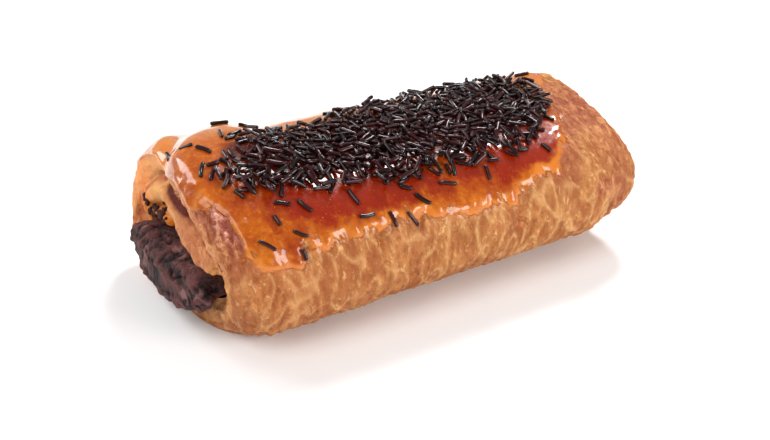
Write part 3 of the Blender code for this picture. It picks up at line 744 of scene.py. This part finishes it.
def make_crust(material):
    """The dough and its glaze in one skin, coloured by marks that come from its own shape. Gives the points
    of its left end face."""
    grid, kind, angle = crust_grid()
    degrees = degrees_of(angle)
    normal = unit(softened(normals_of(grid), 1, 1))
    outer = (kind == 0)[:, None] * np.ones_like(degrees)
    inside = softened((kind == 2)[:, None] * np.ones_like(degrees), 2, 0)
    points, cover, depth, raised, wrinkle, wet = finished_skin(grid, normal, degrees, outer)
    points = points * (1 - inside[..., None]) + grid * inside[..., None]
    points[..., 2] = np.maximum(points[..., 2], 0)
    hollow = hollowness(points, normal, 5)
    x = grid[..., 0]
    cover = cover * outer
    upper = ease(degrees, 70, 104)
    back, front = np.interp(x, BAND_PLACES, BAND_BACK), np.interp(x, BAND_PLACES, BAND_FRONT)
    strewn = ease(degrees - back, 0, 9) * ease(front - degrees, 2, 14)
    strewn *= ease(x, -0.053, -0.044) * (1 - ease(x, 0.047, 0.053))
    deep = (0.3 + 0.7 * depth * np.interp(x, DEEP_PLACES, DEEP_SHARE)) * upper
    past_band = degrees - front + 5 * noise(grid * (1, 0.3, 0.3), 0.0035, SEED + 32)
    deep *= 1.12 - 0.45 * ease(past_band, 8, 26)
    deep = np.clip(deep + 0.16 * noise(grid * (1, 0.5, 0.5), 0.006, SEED + 30) * cover * upper, 0, 1)
    left = (kind == 3)[:, None]
    y, z = grid[..., 1], grid[..., 2]
    pale = bell(degrees, 25, 48) * ease(-x, 0.05, 0.06) * (kind != 2)[:, None]
    bake = 0.25 + 0.5 * noise(grid * (1, 0.6, 0.6), 0.013, SEED + 31)
    bake += 0.7 * bell(x, -0.057, 0.01) * bell(degrees, 125, 40) + 0.1 * bell(x, 0.062, 0.01)
    bake -= 0.35 * ease(-x, 0.0, 0.04) * ease(degrees, 150, 175)
    bake += 0.35 * bell(degrees, 118, 26) + 0.05 * left - 0.9 * pale
    bake += 0.9 * bell(x, 0.05, 0.003) * bell(degrees, 171, 7)
    bake += 0.4 * bell(x, 0.057, 0.006) * bell(degrees, 85, 25)
    thin = (1 - ease(glaze_reach(grid, degrees), 0.0008, 0.005)) * ease(degrees, 110, 135)
    ruddy = bell(x, -0.0555, 0.0052) * bell(degrees, 127, 17) * outer
    # Painted shade: the bare dough is darkened by how deep it lies in a hollow, and so is the crease line on
    # the left face
    fold_shade = ease(hollow, 0.0003, 0.001) * (1 - cover) * (1 - 0.6 * left)
    crease = 1.3 * left * bell(line_distance(y, z, CREASE_LINE), 0, 0.9 * CREASE_WIDTH)
    # Painted shade, darker towards the low left of the front
    low_left = ease(-x, -0.01, 0.045) * ease(degrees, 148, 170)
    low_left *= 0.25 * outer * (1 - ease(degrees, 250, 280))
    # Painted shade along the groove inside the back wall
    groove = left * bell(line_distance(y, z, WALL_LINE), 0, WALL_WIDTH)
    yellow = bell(y, 0.015, 0.0085) * bell(z, 0.029, 0.005)
    yellow += bell(y, -0.0235, 0.0022) * bell(z, 0.0205, 0.004)
    orange = ease(0.0235 - z, 0, 0.002) * ease(y, 0.004, 0.008)
    orange *= 1 - ease(y, 0.026, 0.028)
    pale = np.maximum(pale, 0.25 * left * (1 - ease(y, 0.006, 0.016)))
    # The fold, wall, raised and wrinkle marks carry painted shade and painted highlights into the dough's
    # colour
    marks = {"glaze": cover, "deep": deep, "bake": np.clip(bake, 0, 1), "fold_shade": np.maximum(fold_shade, crease),
             "raised": raised, "wall": np.maximum(groove, low_left), "pale": np.clip(pale, 0, 1),
             "yellow": left * yellow, "orange": left * orange, "wrinkle": wrinkle * (1 - cover), "wet": wet,
             "strewn": strewn, "thin": thin, "ruddy": ruddy}
    faces = grid_faces(*grid.shape[:2])
    piece = mesh_piece("dough", points.reshape(-1, 3), faces, marks, material)
    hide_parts("crust")
    return points[kind == 3].reshape(-1, 3)


def skin_place(x, angle):
    """The place on the finished outside at x and an angle, with its normal: the smooth skin, its steps to
    either side crossed for the normal, and the finished height added."""
    left = -around(LEFT_RIM, angle)
    right = around(RIGHT_RIM, angle)

    def base(x, angle):
        """The smooth skin at x."""
        return crust_skin(np.clip((x - left) / (right - left), 0, 1), angle)

    small = 0.0004
    lengthwise = base(x + small, angle) - base(x - small, angle)
    across = base(x, angle + small / 0.03) - base(x, angle - small / 0.03)
    normal = unit(np.cross(across, lengthwise))
    points = base(x, angle)
    return finished_skin(points, normal, degrees_of(angle), np.ones_like(x))[0], normal


def girth_table():
    """Arc length round the middle of the roll against the angle, as two lists to look up in."""
    angle = np.linspace(math.radians(20), math.radians(185), 500)
    line = crust_skin(np.full_like(angle, 0.5), angle)
    steps = np.linalg.norm(np.diff(line, axis=0), axis=1)
    return angle, np.concatenate([[0], np.cumsum(steps)])


def rest_line(place, height):
    """The height and slope at 0 of the line that rests on a row of heights with its middle between two of
    them: the edge over 0 of their upper hull, found as the highest line through a point of each side."""
    left, right = place <= 0, place >= 0
    a, b = place[left][:, None], place[right][None, :]
    ha, hb = height[left][:, None], height[right][None, :]
    span = np.maximum(b - a, 1e-9)
    level = np.where(b - a > 1e-9, (ha * b - hb * a) / span, np.maximum(ha, hb))
    best = np.unravel_index(np.argmax(level), level.shape)
    slope = ((hb - ha) / span * (b - a > 1e-9))[best]
    return level[best], slope


def drop_sprinkles():
    """Sprinkles fall one by one on a map of heights over the skin, each comes to rest on what lies there, and
    its own round back is added to the map. Gives for each its middle (x, arc), direction, length, radius,
    height, slope, bend and shade, and the table of angles and arcs."""
    chance = np.random.default_rng(SEED + 5)
    angles, arcs = girth_table()
    columns = int(2 * MAP_HALF / MAP_CELL)
    heights = np.zeros((columns, int(arcs[-1] / MAP_CELL) + 2))
    skin_angle = np.interp(np.arange(heights.shape[1]) * MAP_CELL, arcs, angles)
    skin_share = (np.arange(columns) * MAP_CELL - MAP_HALF) / LENGTH + 0.5
    skin = crust_skin(*np.broadcast_arrays(skin_share[:, None], skin_angle[None, :]))[..., 2]
    laid = []
    plan = [(x / 1000, math.radians(a), math.radians(t)) for x, a, t in STRAYS]
    for _ in range(SPRINKLE_TRIES):
        if len(laid) == DROPPED:
            break
        planned = len(laid) < len(plan)
        if planned:
            x, angle, turn = plan[len(laid)]
        else:
            x = chance.uniform(BAND_PLACES[0], BAND_PLACES[-1])
            back, front = np.interp(x, BAND_PLACES, BAND_BACK), np.interp(x, BAND_PLACES, BAND_FRONT)
            share = chance.uniform(-0.08, 1.08)
            from_end = min(x - BAND_PLACES[0], BAND_PLACES[-1] - x) / THINNED_ENDS
            if chance.uniform() > 0.1 + 0.9 * ease(min(share, 1 - share, from_end), -0.02, 0.16):
                continue
            angle = math.radians(back + (front - back) * share)
            turn = chance.uniform(0, math.pi)
        arc = float(np.interp(angle, angles, arcs))
        length = SPRINKLE_LENGTH * chance.uniform(0.65, 1.15)
        radius = SPRINKLE_RADIUS * chance.uniform(0.88, 1.08)
        way = np.array([math.cos(turn), math.sin(turn)])
        side = np.array([-way[1], way[0]])
        place = np.linspace(-length / 2, length / 2, 11)
        across = radius * np.array([-0.85, -0.45, 0, 0.45, 0.85])
        lifted = radius - np.sqrt(radius**2 - across**2)
        here = np.array([x + MAP_HALF, arc])
        spots = here + place[:, None, None] * way + across[None, :, None] * side
        i = np.clip((spots / MAP_CELL).astype(int), 0, np.array(heights.shape) - 1)
        level, slope = rest_line(place, (heights[i[..., 0], i[..., 1]] - lifted).max(1))
        row, column = (here / MAP_CELL).astype(int)
        reach = skin[row, min(column, skin.shape[1] - 1)] + level + 2 * radius + abs(slope) * length / 2
        if not planned and (abs(slope) > STEEPEST or level > PILE_LIMIT or reach > TOP_LIMIT):
            continue
        span = int(length / 2 / MAP_CELL) + 2
        rows = np.arange(max(row - span, 0), min(row + span, heights.shape[0]))
        cols = np.arange(max(column - span, 0), min(column + span, heights.shape[1]))
        dx, dy = (rows * MAP_CELL - x - MAP_HALF)[:, None], (cols * MAP_CELL - arc)[None, :]
        run, off = dx * way[0] + dy * way[1], dx * side[0] + dy * side[1]
        top = level + slope * run + radius + np.sqrt(np.clip(radius**2 - off**2, 0, None))
        covered = (np.abs(run) <= length / 2) & (np.abs(off) < radius)
        part = heights[np.ix_(rows, cols)]
        heights[np.ix_(rows, cols)] = np.where(covered, np.maximum(part, top), part)
        bend, shade = chance.uniform(-1, 1), chance.uniform()
        laid.append((x, arc, *way, length, radius, level + radius, slope, bend, shade))
    return np.array(laid).T, angles, arcs


def tube_faces(rings, sides):
    """Quads of a tube of rings, open at both ends, facing out."""
    i, j = np.meshgrid(np.arange(rings - 1) * sides, np.arange(sides), indexing="ij")
    beside = (j + 1) % sides
    return np.stack([i + j, i + beside, i + sides + beside, i + sides + j], -1).reshape(-1, 4)


def capped_rods(count, rings, sides):
    """Quads of many rods, each of rings with eight sides, and three quads that close each end."""
    quads = tube_faces(rings, sides)
    last = (rings - 1) * sides
    caps = [(3, 2, 1, 0), (4, 3, 0, 7), (5, 4, 7, 6)]
    caps += [tuple(last + k for k in reversed(cap)) for cap in caps]
    quads = np.concatenate([quads, np.array(caps)])
    return (quads[None] + np.arange(count)[:, None, None] * rings * sides).reshape(-1, 4)


def make_sprinkles(material):
    """All the sprinkles in one mesh. Each is a rod with rounded ends, c + s d + b (1 - 4s^2/l^2) e plus a
    circle round it, whose radius falls off at both ends. Rods that would reach above the ceiling are left
    out."""
    (x, arc, way_x, way_y, length, radius, lift, slope, bend, shade), angles, arcs = drop_sprinkles()

    def resting(s):
        """The place at s of each rod's length where it rests on the skin, and the skin's normal there."""
        at_x, at_arc = x + s * length * way_x, arc + s * length * way_y
        point, normal = skin_place(np.clip(at_x, *SKIN_ENDS), np.interp(at_arc, arcs, angles))
        point[:, 0] = at_x
        return point + normal * (lift - SPRINKLE_SINK + slope * s * length)[:, None], normal

    ends = [resting(s)[0] for s in (-0.5, 0.5)]
    middle, normal = resting(0)
    direction = unit(ends[1] - ends[0])
    beside = unit(np.cross(direction, normal))
    over = np.cross(beside, direction)
    stations = np.array([-0.5, -0.47, -0.4, -0.14, 0.14, 0.4, 0.47, 0.5])
    girth = np.array([0.55, 0.88, 1.0, 1.0, 1.0, 1.0, 0.88, 0.55])
    turn = full_turn(8)
    s = stations[None, :, None, None]
    centre = middle[:, None, None] + s * (length[:, None] * direction)[:, None, None]
    centre = centre + (1 - 4 * s**2) * (SPRINKLE_BEND * bend[:, None] * beside)[:, None, None]
    circle = np.cos(turn)[:, None] * beside[:, None, None] + np.sin(turn)[:, None] * over[:, None, None]
    points = centre + circle * (radius[:, None] * girth)[..., None, None]
    low = points[..., 2].max((1, 2)) < CEILING
    points, shade = points[low], shade[low]
    marks = {"shade": np.repeat(shade, points.shape[1] * points.shape[2])}
    piece = mesh_piece("sprinkles", points.reshape(-1, 3), capped_rods(*points.shape[:3]), marks, material)
    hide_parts("crust")


def make_crumbs(material, face):
    """Crumbs of chocolate on the left end face: balls whose radius is a sine of the way from end to end,
    made uneven by noise, each set on the nearest point of the face."""
    chance = np.random.default_rng(SEED + 60)
    place = np.array(CRUMBS) / 1000
    away = np.hypot(face[None, :, 1] - place[:, :1], face[None, :, 2] - place[:, 1:2])
    middle = face[np.argmin(away, axis=1)] - (0.0001, 0, 0)
    tilt = chance.uniform(0.2, 0.8, len(place)) * math.pi
    along_way = unit(np.stack([0.3 * np.ones_like(tilt), np.cos(tilt), np.sin(tilt)], -1))
    beside = unit(np.cross(along_way, (1, 0, 0)))
    over = np.cross(beside, along_way)
    way = np.linspace(0.12, math.pi - 0.12, 9)[None, :, None, None]
    turn = full_turn(8)[:, None]
    circle = np.cos(turn) * beside[:, None, None] + np.sin(turn) * over[:, None, None]
    ball = -1.25 * np.cos(way) * along_way[:, None, None] + np.sin(way) * circle
    ball = ball * place[:, 2][:, None, None, None]
    points = middle[:, None, None] + ball
    points += 0.55 * noise(points, 0.0007, SEED + 61)[..., None] * ball
    points[..., 0] = np.maximum(points[..., 0], -FARTHEST)
    # Fixed marks for the filling's colours, with a share of its painted crack shade
    marks = {"raised": np.full(points.shape[:3], 0.45), "crack": np.full(points.shape[:3], 0.3)}
    piece = mesh_piece("crumbs", points.reshape(-1, 3), capped_rods(*points.shape[:3]), marks, material)
    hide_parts("filling")


def filling_grid():
    """Rings of the filling from the middle of its nose, outwards and through the bore to its right end."""
    angle = full_turn(PLUG_STEPS)
    rim = around(LEFT_RIM, angle)
    outward = ease(-np.sin(angle), *PLUG_OUTWARD)
    y0 = channel(0.0, angle, FILLING_GAP)[0]
    nose = NOSE_TIP - PLUG_LEAN * ((y0 - PLUG_MIDDLE) / PLUG_REACH) ** 2

    def ring(reach, inset):
        """A ring narrowed by the inset, and swollen where it stands free of the rim."""
        swell = PLUG_SWELL * outward * ease(reach, rim + PLUG_SWELL_FROM[0], rim + PLUG_SWELL_FROM[1])
        return np.stack([-reach, *channel(0.0, angle, FILLING_GAP + inset - swell)], -1)

    rings = []
    rounding = PLUG_ROUNDING * np.cos(np.linspace(0.1, 1.5, 32))
    for inset in np.concatenate([np.linspace(0.0056, 0.0043, 9), rounding]):
        outside = max(PLUG_ROUNDING - inset, 0) / PLUG_ROUNDING
        rings.append(ring(nose - PLUG_ROUNDING * (1 - math.sqrt(1 - outside**2)), inset))
    back = nose - PLUG_ROUNDING
    for share in np.linspace(0.03, 1, 34):
        rings.append(ring(back + (-BORE_STATIONS[0] - back) * share, 0))
    for x in np.linspace(BORE_STATIONS[0], BORE_STATIONS[-1], 12)[1:]:
        rings.append(bore_ring(x, angle, FILLING_GAP))
    for short, narrow in ((0.0008, 0.0), (0.0002, 0.0006), (0.0, 0.0016), (0.0, 0.0046)):
        y, z = channel(1.0, angle, FILLING_GAP + narrow)
        rings.append(np.stack([np.full_like(y, RIGHT_FILLING_END - short), y, z], -1))
    return np.stack(rings)


def make_filling(material):
    """The chocolate: a swelling crumbly nose with cracks, its height the size of several noises."""
    grid = filling_grid()
    count, sides = grid.shape[:2]
    across = np.roll(grid, -1, 1) - np.roll(grid, 1, 1)
    lengthwise = np.gradient(grid, axis=0)
    normal = unit(np.cross(across, lengthwise))
    height = sum(lump * noise(grid, cell, SEED + 40 + k) for k, (lump, cell) in enumerate(FILLING_LUMPS))
    crack = (1 - np.minimum(1, np.abs(noise(grid * (0.4, 1, 0.6), 0.0085, SEED + 46)) * 12)) ** 2
    crack *= ease(noise(grid, 0.006, SEED + 47), -0.1, 0.3)
    height -= CRACK_DEPTH * crack
    rim = np.broadcast_to(around(LEFT_RIM, full_turn(sides)), height.shape)
    free = ease(-grid[..., 0], rim - 0.0012, rim + 0.0012)
    free = np.maximum(free, ease(grid[..., 0], 0.0592, 0.06) * 0.3)
    centre = ease(np.arange(count), 0, 5)[:, None]
    points = grid + normal * (height * free * (0.4 + 0.6 * centre))[..., None]
    points[..., 0] = np.maximum(points[..., 0], -FARTHEST)
    k = np.arange(1, sides // 2 - 1)
    rungs = np.stack([k, k + 1, sides - k - 1, sides - k], -1)
    last = (count - 1) * sides
    faces = np.concatenate([tube_faces(count, sides), rungs[:, ::-1], last + rungs])
    # These marks carry the painted shade in the hollows and cracks and the painted light on the raised
    # chocolate
    marks = {"raised": np.clip(0.5 + height / 0.0014, 0, 1), "crack": crack}
    piece = mesh_piece("chocolate", points.reshape(-1, 3), faces, marks, material)
    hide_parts("filling")


# The camera: where it turns and rises to, how far it stands off the roll's middle, its focal length in pixels
# of the 770 pixel wide picture, and how many pixels its aim is moved to the right and up
CAMERA_TURN = math.radians(-29.356)
CAMERA_RISE = math.radians(28.514)
CAMERA_DISTANCE = 0.33915
CAMERA_CENTRE = Vector((0, 0, 0.02268))
PICTURE_WIDTH = 770
FOCUS_PIXELS = 1207
AIM_PIXELS = (0.4, -39.872)
SENSOR_WIDTH = 36
FLOOR_WIDTH = 5


def bearing(turn, rise):
    """The unit vector from the roll towards a turn from the front and a rise above the floor."""
    return Vector((math.sin(turn) * math.cos(rise), -math.cos(turn) * math.cos(rise), math.sin(rise)))


def make_camera():
    """A camera on the photo's line of sight, aimed so that the roll stands where it stands in the photo."""
    data = bpy.data.cameras.new("camera")
    data.sensor_width = SENSOR_WIDTH
    data.lens = SENSOR_WIDTH * FOCUS_PIXELS / PICTURE_WIDTH
    data.clip_start, data.clip_end = 0.01, 20
    camera = put_in("camera", data)
    back = bearing(CAMERA_TURN, CAMERA_RISE)
    right = Vector((0, 0, 1)).cross(back).normalized()
    up = back.cross(right)
    aim = -back + (AIM_PIXELS[0] * right + AIM_PIXELS[1] * up) / FOCUS_PIXELS
    camera.location = CAMERA_CENTRE + back * CAMERA_DISTANCE
    camera.rotation_mode = "QUATERNION"
    camera.rotation_quaternion = aim.to_track_quat("-Z", "Y")
    bpy.context.scene.camera = camera


def make_light(name, turn, rise, distance, size, watts):
    """A rectangular soft light, aimed at the roll."""
    data = bpy.data.lights.new(name, "AREA")
    data.shape = "RECTANGLE"
    data.size, data.size_y = size
    data.energy = watts
    light = put_in(name, data)
    towards = bearing(math.radians(turn), math.radians(rise))
    light.location = CAMERA_CENTRE + towards * distance
    light.rotation_mode = "QUATERNION"
    light.rotation_quaternion = (-towards).to_track_quat("-Z", "Y")


def make_studio():
    """A pale floor, a pale surrounding light and soft lights over, in front of and behind the roll."""
    world = bpy.data.worlds.new("studio")
    bpy.context.scene.world = world
    world.use_nodes = True
    sky = world.node_tree.nodes["Background"].inputs
    sky["Color"].default_value = (0.95, 0.97, 1.0, 1)
    sky["Strength"].default_value = 0.33
    half = FLOOR_WIDTH / 2
    mesh = bpy.data.meshes.new("floor")
    corners = [(-half, -half, 0), (half, -half, 0), (half, half, 0), (-half, half, 0)]
    mesh.from_pydata(corners, [], [(0, 1, 2, 3)])
    mesh.materials.append(floor_material())
    floor = put_in("floor", mesh)
    make_light("front_light", 32, 19, 0.8, (0.32, 0.36), 4.3)
    make_light("over_light", 134, 50, 0.9, (0.22, 0.22), 6.0)
    make_light("back_light", -149, 29, 0.9, (0.3, 0.5), 3.2)
    make_light("side_light", -70, 46, 1.0, (0.6, 0.8), 6.1)
    bpy.context.scene.view_settings.view_transform = "Standard"


make_camera()
make_studio()
left_face = make_crust(crust_material())
make_sprinkles(sprinkle_material())
chocolate = filling_material()
make_filling(chocolate)
make_crumbs(chocolate, left_face)
